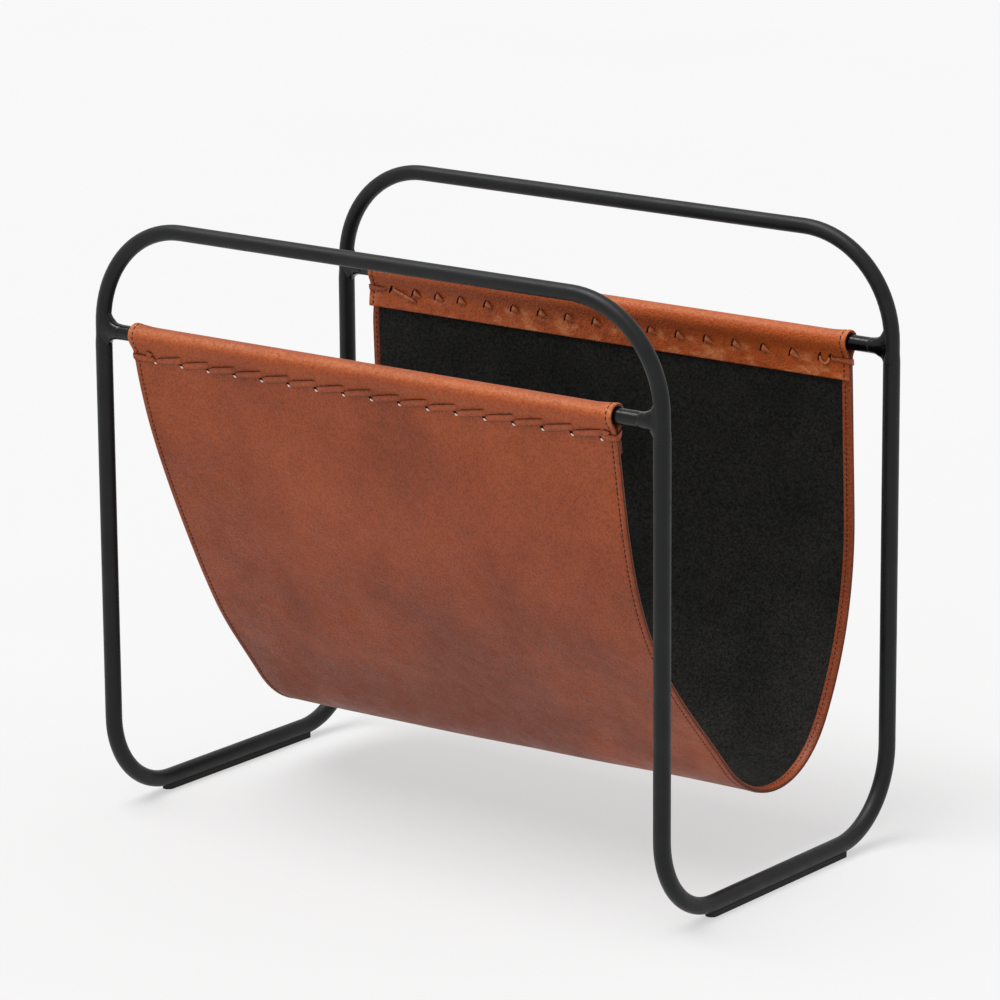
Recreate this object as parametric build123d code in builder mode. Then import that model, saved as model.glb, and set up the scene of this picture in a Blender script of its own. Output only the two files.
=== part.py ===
from build123d import *
import os
from math import acos, cos, degrees, radians, sin

# Magazine rack: a welded steel bar frame with a leather sling hung between two cross rods.
# Millimetres. +X runs along the sling, +Y to the back, +Z up. The origin is on the floor, at
# the centre of the frame.

# ---- frame ----
leg_spacing_x = 390.0         # between the left and right leg centrelines
leg_spacing_y = 219.0         # between the front and back leg centrelines
hoop_bar = 9.0                # bar diameters, paint included
runner_bar = 9.7
cross_bar = 8.8
cross_rod_height = 284.5      # cross rod axis above the floor
top_rail_height = 347.0       # handle rail axis above the floor
hoop_bend_radius = 59.5       # to the bar's centreline
runner_bend_radius = 48.0
butt_joint_drop = 8.0         # a hoop's legs stand on the runner loops this far below the rod
weld_radius = 5.5             # hollow face of a weld bead
weld_width = 6.8
strip_thickness = 2.0         # under the lowest line of the runner
strip_lip = 1.2               # how far the strip cups the runner above that line
strip_width = 7.0
strip_length = 133.0

# ---- sling ----
sling_left = -174.0
sling_right = 167.0
leather = 1.6                 # layer thicknesses
lining = 1.0
sleeve_slack = 0.4            # radial gap between a cross rod and its sleeve
seam_below_top = 14.5         # where sleeve and panel meet, below the top of the sleeve
flap_below_seam = 14.0
lining_below_seam = 5.0       # the lining's hidden top edge, under the flap
binding_width = 6.0
lace_width = 4.0
lace_thickness = 1.0
thread_inset = 3.5            # stitch line from the sling's side edge
thread_width = 0.8
thread_height = 0.3

# The side profile of the sling's outer face turns from down the front, round the bottom and
# up the back, in three arcs that run into each other and a straight run to the back seam.
front_lean = 10.5             # degrees from straight down, at the front seam
front_arc_radius = 450.0
front_arc = 31.0              # degrees of turn
bottom_arc = 111.0
back_arc_radius = 220.0
back_arc = 30.0

# ---- derived from the above ----
half_x = leg_spacing_x / 2
half_y = leg_spacing_y / 2
runner_height = strip_thickness + runner_bar / 2
butt_height = cross_rod_height - butt_joint_drop
sling_width = sling_right - sling_left
sleeve_inner = cross_bar / 2 + sleeve_slack
sleeve_outer = sleeve_inner + leather
seam_height = cross_rod_height + sleeve_outer - seam_below_top
flap_hidden = leather + lining            # inset of the flap's face towards the panel
flap_shown = flap_hidden + leather        # inset of its face towards the hollow
seam_reach = half_y + flap_shown / 2      # the layers are centred under the rod


# ---- the sling's side profile, drawn in a plane whose x is the rack's Y and whose y is Z ----
def heading(lean):
    """Unit direction of the profile where it leans this many degrees from straight down."""
    return Vector(sin(radians(lean)), -cos(radians(lean)))


def inward(lean):
    """Unit direction from the outer face into the hollow, at the same place."""
    return Vector(cos(radians(lean)), sin(radians(lean)))


def unit_arc(lean, angle):
    """The chord of an arc of radius 1 that turns by this angle from this lean."""
    return inward(lean) - inward(lean + angle)


bottom_lean = front_lean + front_arc
back_lean = bottom_lean + bottom_arc
end_lean = back_lean + back_arc
front_seam = Vector(-seam_reach, seam_height)
back_seam = Vector(seam_reach, seam_height)

# The bottom radius and the straight run are the two lengths that bring the profile's end to
# the back seam.
fixed_arcs = unit_arc(front_lean, front_arc) * front_arc_radius
fixed_arcs += unit_arc(back_lean, back_arc) * back_arc_radius
missing = back_seam - front_seam - fixed_arcs
bottom_unit = unit_arc(bottom_lean, bottom_arc)
rise = heading(end_lean)
bottom_arc_radius = missing.cross(rise).Z / bottom_unit.cross(rise).Z
back_straight = bottom_unit.cross(missing).Z / bottom_unit.cross(rise).Z


def front_point(inset, below=0.0):
    """A point of the front panel, this far inside its outer face and below the seam."""
    centre = front_seam + inward(front_lean) * front_arc_radius
    lean = front_lean + degrees(below / front_arc_radius)
    return centre - inward(lean) * (front_arc_radius - inset)


def back_point(inset, below=0.0):
    """A point of the back panel, this far inside its outer face and below the seam."""
    return back_seam + inward(end_lean) * inset - rise * below


def front_run(inset, below):
    """Draws the front panel's profile from the seam down."""
    angle = degrees(below / front_arc_radius)
    JernArc(front_point(inset), heading(front_lean), front_arc_radius - inset, angle)


def whole_run(inset, below=0.0):
    """Draws the side profile, this far inside the outer face, from seam to seam."""
    skipped = degrees(below / front_arc_radius)
    start = heading(front_lean + skipped)
    front = JernArc(front_point(inset, below), start, front_arc_radius - inset, front_arc - skipped)
    bottom = JernArc(front @ 1, front % 1, bottom_arc_radius - inset, bottom_arc)
    back = JernArc(bottom @ 1, bottom % 1, back_arc_radius - inset, back_arc)
    Line(back @ 1, back_point(inset, below))


def layer_outline(outer, inner, below):
    """Draws the section of a layer between two insets, its ends this far below the seams."""
    whole_run(outer, below)
    whole_run(inner, below)
    Line(front_point(outer, below), front_point(inner, below))
    Line(back_point(outer, below), back_point(inner, below))


def tangent_point(rod, radius, point, side):
    """Where the line from a point touches the circle round a rod, on its left or right."""
    away = point - rod
    angle = degrees(acos(radius / away.length))
    return rod + away.normalized().rotate(Axis.Z, side * angle) * radius


def sleeve_face(rod, radius, left_point, right_point):
    """Draws one face of a sleeve, over the rod from the left layer to the right layer."""
    left_touch = tangent_point(rod, radius, left_point, -1)
    right_touch = tangent_point(rod, radius, right_point, 1)
    Line(left_point, left_touch)
    ThreePointArc(left_touch, rod + Vector(0, radius), right_touch)
    Line(right_touch, right_point)


# ---- the frame's sub-parts ----
os.makedirs("parts", exist_ok=True)


def save(builder, name):
    """Labels a finished sub-part and writes it."""
    builder.part.label = name
    export_step(builder.part, f"parts/{name}.step")


def handle_hoop(y):
    """An inverted U: two short legs, two bends and the rail that is the handle."""
    with BuildPart() as hoop:
        with BuildLine(Plane.XZ.offset(-y)) as path:
            FilletPolyline(
                (-half_x, butt_height),
                (-half_x, top_rail_height),
                (half_x, top_rail_height),
                (half_x, butt_height),
                radius=hoop_bend_radius,
            )
        with BuildSketch(Plane(origin=path.line @ 0, z_dir=path.line % 0)):
            Circle(hoop_bar / 2)
        sweep()
    return hoop


def runner_loop(x):
    """A U on its side of the rack: front leg, bend, floor runner, bend and back leg."""
    with BuildPart() as loop:
        with BuildLine(Plane.YZ.offset(x)) as path:
            FilletPolyline(
                (-half_y, butt_height),
                (-half_y, runner_height),
                (half_y, runner_height),
                (half_y, butt_height),
                radius=runner_bend_radius,
            )
        with BuildSketch(Plane(origin=path.line @ 0, z_dir=path.line % 0)):
            Circle(runner_bar / 2)
        sweep()
    return loop


def cross_rod(y, hoop):
    """A straight rod between the legs of a hoop, its ends hollowed to fit round them."""
    with BuildPart() as rod:
        with BuildSketch(Plane.YZ.offset(-half_x)):
            with Locations((y, cross_rod_height)):
                Circle(cross_bar / 2)
        extrude(amount=leg_spacing_x)
        add(hoop.part, mode=Mode.SUBTRACT)
    return rod


def weld(x, y, bars):
    """The upper and lower fillet beads in the corners between a leg and a cross rod."""
    inner = -1 if x > 0 else 1
    reach_x = hoop_bar / 2 + weld_radius
    reach_z = cross_bar / 2 + weld_radius
    with BuildPart() as beads:
        with BuildSketch(Plane.XZ.offset(-y)):
            with Locations((x + inner * reach_x / 2, cross_rod_height)):
                Rectangle(reach_x, 2 * reach_z)
            corners = [(x + inner * reach_x, cross_rod_height + side * reach_z) for side in (-1, 1)]
            with Locations(*corners):
                Circle(weld_radius, mode=Mode.SUBTRACT)
        extrude(amount=weld_width / 2, both=True)
        for bar in bars:
            add(bar.part, mode=Mode.SUBTRACT)
    return beads


def floor_strip(x, loop):
    """A flat strip under the straight of a runner, cupped to the bar that rests in it."""
    height = strip_thickness + strip_lip
    with BuildPart() as strip:
        with BuildSketch():
            with Locations((x, 0)):
                SlotOverall(strip_length, strip_width, rotation=90)
        extrude(amount=height)
        add(loop.part, mode=Mode.SUBTRACT)
    return strip


hoops = {"front": handle_hoop(-half_y), "back": handle_hoop(half_y)}
loops = {"left": runner_loop(-half_x), "right": runner_loop(half_x)}
rods = {"front": cross_rod(-half_y, hoops["front"]), "back": cross_rod(half_y, hoops["back"])}
side_x = {"left": -half_x, "right": half_x}
row_y = {"front": -half_y, "back": half_y}

for row in ("front", "back"):
    save(hoops[row], f"{row}_handle_hoop")
    save(rods[row], f"{row}_cross_rod")
    for side in ("left", "right"):
        beads = weld(side_x[side], row_y[row], (hoops[row], loops[side], rods[row]))
        save(beads, f"{row}_{side}_weld")

for side in ("left", "right"):
    save(loops[side], f"{side}_runner_loop")
    save(floor_strip(side_x[side], loops[side]), f"{side}_floor_strip")


# ---- the sling's sub-parts ----
front_rod = Vector(-half_y, cross_rod_height)
back_rod = Vector(half_y, cross_rod_height)

# The leather is one panel. It wraps each cross rod and comes down inside as a flap.
with BuildPart() as sling_leather:
    with BuildSketch(Plane.YZ.offset(sling_left)):
        with BuildLine():
            whole_run(0)
            whole_run(leather)
            sleeve_face(front_rod, sleeve_outer, front_point(0), front_point(flap_shown))
            sleeve_face(front_rod, sleeve_inner, front_point(leather), front_point(flap_hidden))
            sleeve_face(back_rod, sleeve_outer, back_point(flap_shown), back_point(0))
            sleeve_face(back_rod, sleeve_inner, back_point(flap_hidden), back_point(leather))
            for inset in (flap_hidden, flap_shown):
                front_run(inset, flap_below_seam)
                Line(back_point(inset), back_point(inset, flap_below_seam))
            for edge_point in (front_point, back_point):
                hidden_end = edge_point(flap_hidden, flap_below_seam)
                Line(hidden_end, edge_point(flap_shown, flap_below_seam))
        make_face()
    extrude(amount=sling_width)
save(sling_leather, "sling_leather")

with BuildPart() as sling_lining:
    with BuildSketch(Plane.YZ.offset(sling_left + binding_width)):
        with BuildLine():
            layer_outline(leather, flap_hidden, lining_below_seam)
        make_face()
    extrude(amount=sling_width - 2 * binding_width)
save(sling_lining, "sling_lining")


def edge_binding(start_x):
    """A leather strip along one side edge of the panel, inside it, beside the lining."""
    with BuildPart() as binding:
        with BuildSketch(Plane.YZ.offset(start_x)):
            with BuildLine():
                layer_outline(leather, flap_hidden, lining_below_seam)
            make_face()
        extrude(amount=binding_width)
    return binding


def edge_thread(centre_x):
    """A stitch line near a side edge: its outside run and, on the binding, its inside run."""
    with BuildPart() as thread:
        with BuildSketch(Plane.YZ.offset(centre_x - thread_width / 2)):
            with BuildLine():
                layer_outline(-thread_height, 0, lace_width)
            make_face()
            with BuildLine():
                layer_outline(flap_hidden, flap_hidden + thread_height, flap_below_seam)
            make_face()
        extrude(amount=thread_width)
    return thread


save(edge_binding(sling_left), "left_edge_binding")
save(edge_binding(sling_right - binding_width), "right_edge_binding")
save(edge_thread(sling_left + thread_inset), "left_edge_thread")
save(edge_thread(sling_right - thread_inset), "right_edge_thread")


def lace(edge_point, run):
    """A flat thong at a seam, along both faces of the layers and round their side edges."""
    with BuildPart() as thong:
        for outer, inner, grow in (
            (-lace_thickness, flap_shown + lace_thickness, lace_thickness),
            (0, flap_shown, 0),
        ):
            with BuildSketch(Plane.YZ.offset(sling_left - grow)):
                with BuildLine():
                    run(outer, lace_width)
                    run(inner, lace_width)
                    Line(edge_point(outer), edge_point(inner))
                    Line(edge_point(outer, lace_width), edge_point(inner, lace_width))
                make_face()
            extrude(amount=sling_width + 2 * grow, mode=Mode.ADD if grow else Mode.SUBTRACT)
    return thong


def back_run(inset, below):
    """Draws the back panel's profile from the seam down."""
    Line(back_point(inset), back_point(inset, below))


save(lace(front_point, front_run), "front_lace")
save(lace(back_point, back_run), "back_lace")
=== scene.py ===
import math

import bpy
import numpy as np
from mathutils import Matrix, Vector, noise


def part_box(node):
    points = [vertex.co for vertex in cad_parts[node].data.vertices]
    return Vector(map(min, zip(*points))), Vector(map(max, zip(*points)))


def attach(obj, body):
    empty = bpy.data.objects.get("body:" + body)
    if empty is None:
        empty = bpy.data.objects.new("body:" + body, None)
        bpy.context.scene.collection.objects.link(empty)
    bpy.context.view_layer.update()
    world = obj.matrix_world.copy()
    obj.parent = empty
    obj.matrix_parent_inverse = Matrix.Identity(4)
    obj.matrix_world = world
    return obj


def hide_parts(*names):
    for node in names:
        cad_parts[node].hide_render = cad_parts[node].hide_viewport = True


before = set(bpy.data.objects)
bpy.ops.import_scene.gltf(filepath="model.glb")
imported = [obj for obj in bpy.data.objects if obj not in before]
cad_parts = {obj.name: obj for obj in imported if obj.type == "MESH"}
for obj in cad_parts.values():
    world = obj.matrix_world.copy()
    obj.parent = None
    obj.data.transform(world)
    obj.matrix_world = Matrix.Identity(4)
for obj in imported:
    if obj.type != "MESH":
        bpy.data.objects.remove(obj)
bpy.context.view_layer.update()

# A magazine rack: a welded bar frame and a leather sling on two cross rods. The sling's sizes
# below are millimetres, and points are turned to metres where a mesh is made.
MM = 0.001


def rod_axis(node):
    """(y, z) of a cross rod's axis, in millimetres."""
    low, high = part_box(node)
    return np.array([low.y + high.y, low.z + high.z]) / 2 / MM


# ---- sizes that come from the frame ----
FRONT_ROD = rod_axis("front_cross_rod")
BACK_ROD = rod_axis("back_cross_rod")
ROD_RADIUS = (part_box("front_cross_rod")[1].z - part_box("front_cross_rod")[0].z) / 2 / MM
SLING_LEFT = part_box("sling_leather")[0].x / MM
SLING_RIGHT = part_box("sling_leather")[1].x / MM
SLING_WIDTH = SLING_RIGHT - SLING_LEFT

# ---- the sling's own sizes ----
LEATHER = 1.6
LINING = 1.0
SLEEVE_SLACK = 0.4
SLEEVE_HANG = 0.2  # the sleeve rests on its rod, so its centre is a little lower
SEAM_BELOW_TOP = 14.5
FLAP_BELOW_SEAM = 14.0
LINING_BELOW_SEAM = 5.0
BINDING_WIDTH = 6.0
LEFT_BINDING_WIDTH = 4.8
BINDING_CROWN = 0.35  # the binding stands this far proud of the lining
STITCH_INSET = 3.5
STITCH_PITCH = 3.0
STITCH_LENGTH = 2.2
THONG_WIDTH = 4.0
THONG_THICKNESS = 0.9
HOLE_PITCH = 19.7
FIRST_HOLE = 16.0  # from the sling's left edge
HOLES = 17
SECOND_SLIT = 7.0  # the last hole has a second slit this far on
BACK_SHORT_GAPS = 3  # the back lace's first gaps are shorter than the rest
BACK_GAP_LOSS = 2.7
BACK_PITCH_LOSS = 0.1
LACE_BELOW_SEAM = 1.6
THONG_LIFT = 0.42  # the strips' centres stand this far off the grain
FLAP_FACE = 2 * LEATHER + LINING  # the flap's shown face, inside the panel's outer face
SLEEVE_RADIUS = ROD_RADIUS + SLEEVE_SLACK + LEATHER

# ---- the side profile: three arcs and a straight run, as (radius, degrees of turn) ----
FRONT_LEAN = 10.5
FRONT_ARC = (450.0, 31.0)
BOTTOM_TURN = 111.0
WALK_STEP = 0.5  # between the points of a walk along the profile
BACK_ARC = (220.0, 30.0)

# ---- how the leather departs from one even profile ----
LEFT_BULGE = -3.5  # outward, at the left edge of the front panel
RIGHT_BULGE = 9.5
BULGE_LENGTH = 235.0
BULGE_POWER = 1.5  # above 1, the bulge grows mostly near the right edge
# Bumps at one side edge, fading across: (start, length along the panel, outward lift, side)
EDGE_BUMPS = (
    (185.0, 230.0, 4.8, "left"),
    (178.0, 122.0, -3.2, "left"),
    (190.0, 220.0, -1.3, "right"),
    (255.0, 110.0, 2.6, "right"),
)
BUMP_FADE = (0.3, 1.0)  # the shares of the width between which a bump fades
FRONT_SKEW = (2.6, -0.7)  # sideways shift of the left and right edges at the front seam
BACK_SKEW = (-2.2, 0.9)
RIPPLE = 0.6
RIPPLE_SIZE = 75.0
RIPPLE_GROWS = (14, 60)  # none this near to a seam, and all of it this far away
FLARE_LENGTH = 16.0  # a sleeve opens this near to its ends
FLARE = 0.9
SLEEVE_SHIFT = 2.6  # the back sleeve's left end sits further in than the panel below
SHIFT_BEFORE_SEAM = 25  # the shift grows from this far before the back seam
SHIFT_PAST_SEAM = 6  # to this far past it
FLAP_SPLAY = 3.4  # how far the back flap's left corner swings out
SPLAY_BEFORE_SEAM = 12  # the splay starts this far before the flap's seam

# ---- camera: the lens and sensor in millimetres, the rest in degrees and metres ----
CAMERA_AZIMUTH = 37.452
CAMERA_ELEVATION = 14.4
CAMERA_ROLL = -0.4
CAMERA_DISTANCE = 2.9397
CAMERA_LENS = 187.0
CAMERA_SENSOR = 36.0
CAMERA_SEES_TO = 60
CAMERA_AIM_X = 0.0037
CAMERA_AIM_HEIGHT = 0.19146

# ---- light: an even pale studio, a broad soft light overhead and a floor lit from below ----
SKY = 0.72
SKY_SEEN = 0.94  # the backdrop is seen as bright as the floor
FLOOR_HALF = 20.0  # half the floor's side, in metres
FLOOR_GLOW = 0.54
OVERHEAD = 3.0
OVERHEAD_SPREAD = 40.0
OVERHEAD_FROM = (-0.28, -0.23, 0.93)


# ======== The sling's side profile ========
def heading(lean):
    """Unit (y, z) direction of the panel where it leans this many degrees from straight down."""
    return np.array([math.sin(math.radians(lean)), -math.cos(math.radians(lean))])


def inward(lean):
    """Unit (y, z) direction from the outer face into the hollow, at the same place."""
    return np.array([math.cos(math.radians(lean)), math.sin(math.radians(lean))])


def chord(arc_lean, turn):
    """The chord of an arc of radius 1 that turns by this angle from this lean."""
    return inward(arc_lean) - inward(arc_lean + turn)


def arc_walk(start, lean, radius, turn):
    """Points along an arc, its first point left out."""
    count = max(2, int(radius * math.radians(turn) / WALK_STEP))
    centre = start + inward(lean) * radius
    return [centre - inward(lean + turn * i / count) * radius for i in range(1, count + 1)]


def line_walk(start, end):
    """Points along a straight run, its first point left out."""
    count = max(1, int(np.linalg.norm(end - start) / WALK_STEP))
    return [start + (end - start) * i / count for i in range(1, count + 1)]


def over_rod(rod, right_point, left_point):
    """Points over a rod, from the layer on its back side to the layer on its front side."""
    centre = rod - np.array([0.0, SLEEVE_HANG])
    angles = []
    for point, side in ((right_point, 1), (left_point, -1)):
        away = point - centre
        touch = math.acos(SLEEVE_RADIUS / np.linalg.norm(away))
        angles.append(math.atan2(away[1], away[0]) + side * touch)
    start, end = angles[0], angles[1] + 2 * math.pi
    count = int((end - start) * SLEEVE_RADIUS / WALK_STEP)
    turns = [start + (end - start) * i / count for i in range(count + 1)]
    circle = [centre + SLEEVE_RADIUS * np.array([math.cos(a), math.sin(a)]) for a in turns]
    return line_walk(right_point, circle[0]) + circle + line_walk(circle[-1], left_point)


def length_of(points):
    """Length of a walk."""
    return float(np.linalg.norm(np.diff(np.array(points), axis=0), axis=1).sum())


def smoothed(points, reach=4):
    """The walk with its corners eased, its ends kept."""
    walk = np.array(points)
    for _ in range(3):
        ends = [2 * walk[0] - walk[i] for i in range(reach, 0, -1)]
        tails = [2 * walk[-1] - walk[-1 - i] for i in range(1, reach + 1)]
        padded = np.vstack([ends, walk, tails])
        kernel = np.ones(2 * reach + 1) / (2 * reach + 1)
        walk = np.column_stack([np.convolve(padded[:, i], kernel, "valid") for i in (0, 1)])
    return walk


seam_height = FRONT_ROD[1] + SLEEVE_RADIUS - SEAM_BELOW_TOP
front_seam = np.array([FRONT_ROD[0] - FLAP_FACE / 2, seam_height])
back_seam = np.array([BACK_ROD[0] + FLAP_FACE / 2, seam_height])
bottom_lean = FRONT_LEAN + FRONT_ARC[1]
back_lean = bottom_lean + BOTTOM_TURN
end_lean = back_lean + BACK_ARC[1]

# The bottom radius and the straight run bring the profile's end to the back seam.
missing = back_seam - front_seam
missing = missing - chord(FRONT_LEAN, FRONT_ARC[1]) * FRONT_ARC[0]
missing = missing - chord(back_lean, BACK_ARC[1]) * BACK_ARC[0]
bottom_radius = np.linalg.solve(
    np.column_stack([chord(bottom_lean, BOTTOM_TURN), heading(end_lean)]), missing
)[0]

front_flap_seam = front_seam + inward(FRONT_LEAN) * FLAP_FACE
front_flap_end = front_flap_seam + heading(FRONT_LEAN) * FLAP_BELOW_SEAM
back_flap_seam = back_seam + inward(end_lean) * FLAP_FACE
back_flap_end = back_flap_seam - heading(end_lean) * FLAP_BELOW_SEAM

front_part = [front_flap_end] + line_walk(front_flap_end, front_flap_seam)
front_part += over_rod(FRONT_ROD, front_flap_seam, front_seam)
panel_part = arc_walk(front_seam, FRONT_LEAN, *FRONT_ARC)
panel_part += arc_walk(panel_part[-1], bottom_lean, bottom_radius, BOTTOM_TURN)
panel_part += arc_walk(panel_part[-1], back_lean, *BACK_ARC)
panel_part += line_walk(panel_part[-1], back_seam)
back_part = over_rod(BACK_ROD, back_seam, back_flap_seam)
back_part += line_walk(back_flap_seam, back_flap_end)

# Distances along the leather's grain face, from the front flap's free edge to the back one's.
FRONT_FLAP_SEAM = FLAP_BELOW_SEAM
FRONT_SEAM = length_of(front_part)
BACK_SEAM = FRONT_SEAM + length_of([front_seam] + panel_part)
BACK_FLAP_SEAM = BACK_SEAM + length_of([back_seam] + back_part) - FLAP_BELOW_SEAM
END = BACK_FLAP_SEAM + FLAP_BELOW_SEAM
PANEL = BACK_SEAM - FRONT_SEAM

grain = smoothed(front_part + panel_part + back_part)
grain_steps = np.linalg.norm(np.diff(grain, axis=0), axis=1)
grain_run = np.concatenate([[0.0], np.cumsum(grain_steps)])
grain_run *= END / grain_run[-1]
grain_along = np.gradient(grain, axis=0)
grain_along /= np.linalg.norm(grain_along, axis=1)[:, None]


def ease(value, start, end):
    """0 before start, 1 after end, and smooth between."""
    share = min(max((value - start) / (end - start), 0.0), 1.0)
    return share * share * (3 - 2 * share)


def grain_at(run):
    """(y, z) of the grain face and its outward normal, at a distance along the leather."""
    place = np.array([np.interp(run, grain_run, grain[:, i]) for i in (0, 1)])
    along = np.array([np.interp(run, grain_run, grain_along[:, i]) for i in (0, 1)])
    along /= np.linalg.norm(along)
    return place, np.array([along[1], -along[0]])


def bulge(x, run):
    """How far the hanging leather stands out from the even profile."""
    down = run - FRONT_SEAM
    across = max((x - SLING_LEFT) / SLING_WIDTH, 0.0)
    lift = 0.0
    if 0 < down < BULGE_LENGTH:
        amount = LEFT_BULGE + (RIGHT_BULGE - LEFT_BULGE) * across ** BULGE_POWER
        lift += amount * math.sin(math.pi * down / BULGE_LENGTH) ** 2
    for start, length, amount, side in EDGE_BUMPS:
        if start < down < start + length:
            to_right = ease(across, *BUMP_FADE)
            near_edge = 1 - to_right if side == "left" else to_right
            lift += amount * math.sin(math.pi * (down - start) / length) ** 2 * near_edge
    if 0 < down < PANEL:
        free = ease(down, *RIPPLE_GROWS) * ease(PANEL - down, *RIPPLE_GROWS)
        lift += RIPPLE * free * noise.noise(Vector((x, run, 7.0)) / RIPPLE_SIZE)
    return lift


def flare(x, run):
    """How far a sleeve opens near its ends."""
    near = min(x - SLING_LEFT, SLING_RIGHT - x)
    for start, end in ((FRONT_FLAP_SEAM, FRONT_SEAM), (BACK_SEAM, BACK_FLAP_SEAM)):
        if start < run < end:
            opening = math.sin(math.pi * (run - start) / (end - start))
            return FLARE * opening * (1 - ease(near, 0, FLARE_LENGTH))
    return 0.0


def skew(x, run):
    """Sideways shift of the hanging leather, which is not quite square to its rods."""
    across = (x - SLING_LEFT) / SLING_WIDTH
    back = ease(run, FRONT_SEAM, BACK_SEAM)
    left = FRONT_SKEW[0] * (1 - back) + BACK_SKEW[0] * back
    left += SLEEVE_SHIFT * ease(run, BACK_SEAM - SHIFT_BEFORE_SEAM, BACK_SEAM + SHIFT_PAST_SEAM)
    left -= FLAP_SPLAY * ease(run, BACK_FLAP_SEAM - SPLAY_BEFORE_SEAM, END)
    right = FRONT_SKEW[1] * (1 - back) + BACK_SKEW[1] * back
    return left * (1 - across) + right * across


def on_sling(x, run, lift):
    """The point this far off the grain face, in metres. A negative lift is inside the leather."""
    place, normal = grain_at(run)
    place = place + normal * (lift + bulge(x, run) + flare(x, run))
    return Vector((x + skew(x, run), place[0], place[1])) * MM


def off_sling(run):
    """Unit direction off the grain face."""
    normal = grain_at(run)[1]
    return Vector((0, normal[0], normal[1]))


# ======== Mesh helpers ========
class Shape:
    """A mesh in the making, with a shade and a painted warm light for each vertex; the shade holds wear,
    cut edges and painted light.
    """

    def __init__(self):
        self.points = []
        self.faces = []
        self.shades = []
        self.warm_lights = []
        self.slots = []

    def add_ring_tube(self, rings, ring_shades=None, slot=0):
        """A closed tube through rings of equal size, its ends capped."""
        first = len(self.points)
        size = len(rings[0])
        for ring in rings:
            self.points += ring
            self.shades += ring_shades or [0.0] * size
            self.warm_lights += [0.0] * size
        for j in range(len(rings) - 1):
            a = first + j * size
            b = a + size
            for i in range(size):
                k = (i + 1) % size
                self.faces.append((a + i, a + k, b + k, b + i))
                self.slots.append(slot)
        last = first + (len(rings) - 1) * size
        self.faces.append(tuple(first + i for i in reversed(range(size))))
        self.faces.append(tuple(last + i for i in range(size)))
        self.slots += [slot, slot]

    def add_sheet(self, outer, inner, shade_rows, row_warm_lights):
        """A closed sheet between two grids of points."""
        rows, columns = len(outer), len(outer[0])
        base = len(self.points)
        for grid in (outer, inner):
            for row, shades, warm_light in zip(grid, shade_rows, row_warm_lights):
                self.points += row
                self.shades += shades
                self.warm_lights += [warm_light] * columns
        under = base + rows * columns
        for j in range(rows - 1):
            for i in range(columns - 1):
                a = j * columns + i
                corners = (a, a + 1, a + columns + 1, a + columns)
                self.faces.append(tuple(base + c for c in corners))
                self.faces.append(tuple(under + c for c in reversed(corners)))
        rim = list(range(columns))
        rim += [j * columns + columns - 1 for j in range(1, rows)]
        rim += [(rows - 1) * columns + i for i in reversed(range(columns - 1))]
        rim += [j * columns for j in reversed(range(1, rows - 1))]
        for here, there in zip(rim, rim[1:] + rim[:1]):
            self.faces.append((base + there, base + here, under + here, under + there))
        self.slots += [0] * (len(self.faces) - len(self.slots))

    def build(self, name, *materials):
        """Makes the object, with smooth shading."""
        mesh = bpy.data.meshes.new(name)
        mesh.from_pydata([tuple(p) for p in self.points], [], self.faces)
        for m in materials:
            mesh.materials.append(m)
        mesh.polygons.foreach_set("material_index", self.slots)
        mesh.polygons.foreach_set("use_smooth", [True] * len(self.faces))
        for key, values in (("shade", self.shades), ("warm_light", self.warm_lights)):
            mesh.attributes.new(key, "FLOAT", "POINT").data.foreach_set("value", values)
        mesh.validate()
        mesh.update()
        made = bpy.data.objects.new(name, mesh)
        bpy.context.scene.collection.objects.link(made)
        return made


RIBBON_CORNERS = 10
RIBBON_BOXY = 0.35  # how boxy a thong's section is
SIDE_RISE = 0.5  # a ribbon's corners below this share of its height are its sides
SHOULDER_RISE = 0.95  # and those below this one its shoulders


def section(centre, side, up, half_width, half_height, boxy):
    """A ring round a centre: an ellipse at boxy 1, nearer to a rectangle the lower boxy is."""
    ring = []
    for i in range(RIBBON_CORNERS):
        angle = 2 * math.pi * (i + 0.5) / RIBBON_CORNERS
        c, s = math.cos(angle), math.sin(angle)
        across = math.copysign(abs(c) ** boxy, c) * half_width
        rise = math.copysign(abs(s) ** boxy, s) * half_height
        ring.append(centre + side * across + up * rise)
    return ring


def corner_shade(i, shades):
    """Which of a ribbon's three shades its i-th corner takes."""
    rise = abs(math.sin(2 * math.pi * (i + 0.5) / RIBBON_CORNERS))
    if rise < SIDE_RISE:
        return shades[0]
    return shades[1] if rise < SHOULDER_RISE else shades[2]


def add_ribbon(shape, centres, ups, half_widths, half_height, shades=(0, 0, 0), slot=0, boxy=RIBBON_BOXY):
    """A flat strip along centres, its flat side facing ups. Sizes are in metres, and the three
    shades are for the sides, the rounded shoulders and the middle of the flat."""
    rings = []
    last = len(centres) - 1
    for i, (centre, up) in enumerate(zip(centres, ups)):
        along = (centres[min(i + 1, last)] - centres[max(i - 1, 0)]).normalized()
        side = along.cross(up).normalized()
        top = side.cross(along).normalized()
        rings.append(section(centre, side, top, half_widths[i], half_height, boxy))
    ring_shades = [corner_shade(i, shades) for i in range(RIBBON_CORNERS)]
    shape.add_ring_tube(rings, ring_shades, slot)


# ======== Materials ========
# A Mix node's sockets for two colours and their result
MIX_A, MIX_B, MIX_RESULT = 6, 7, 2


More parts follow.
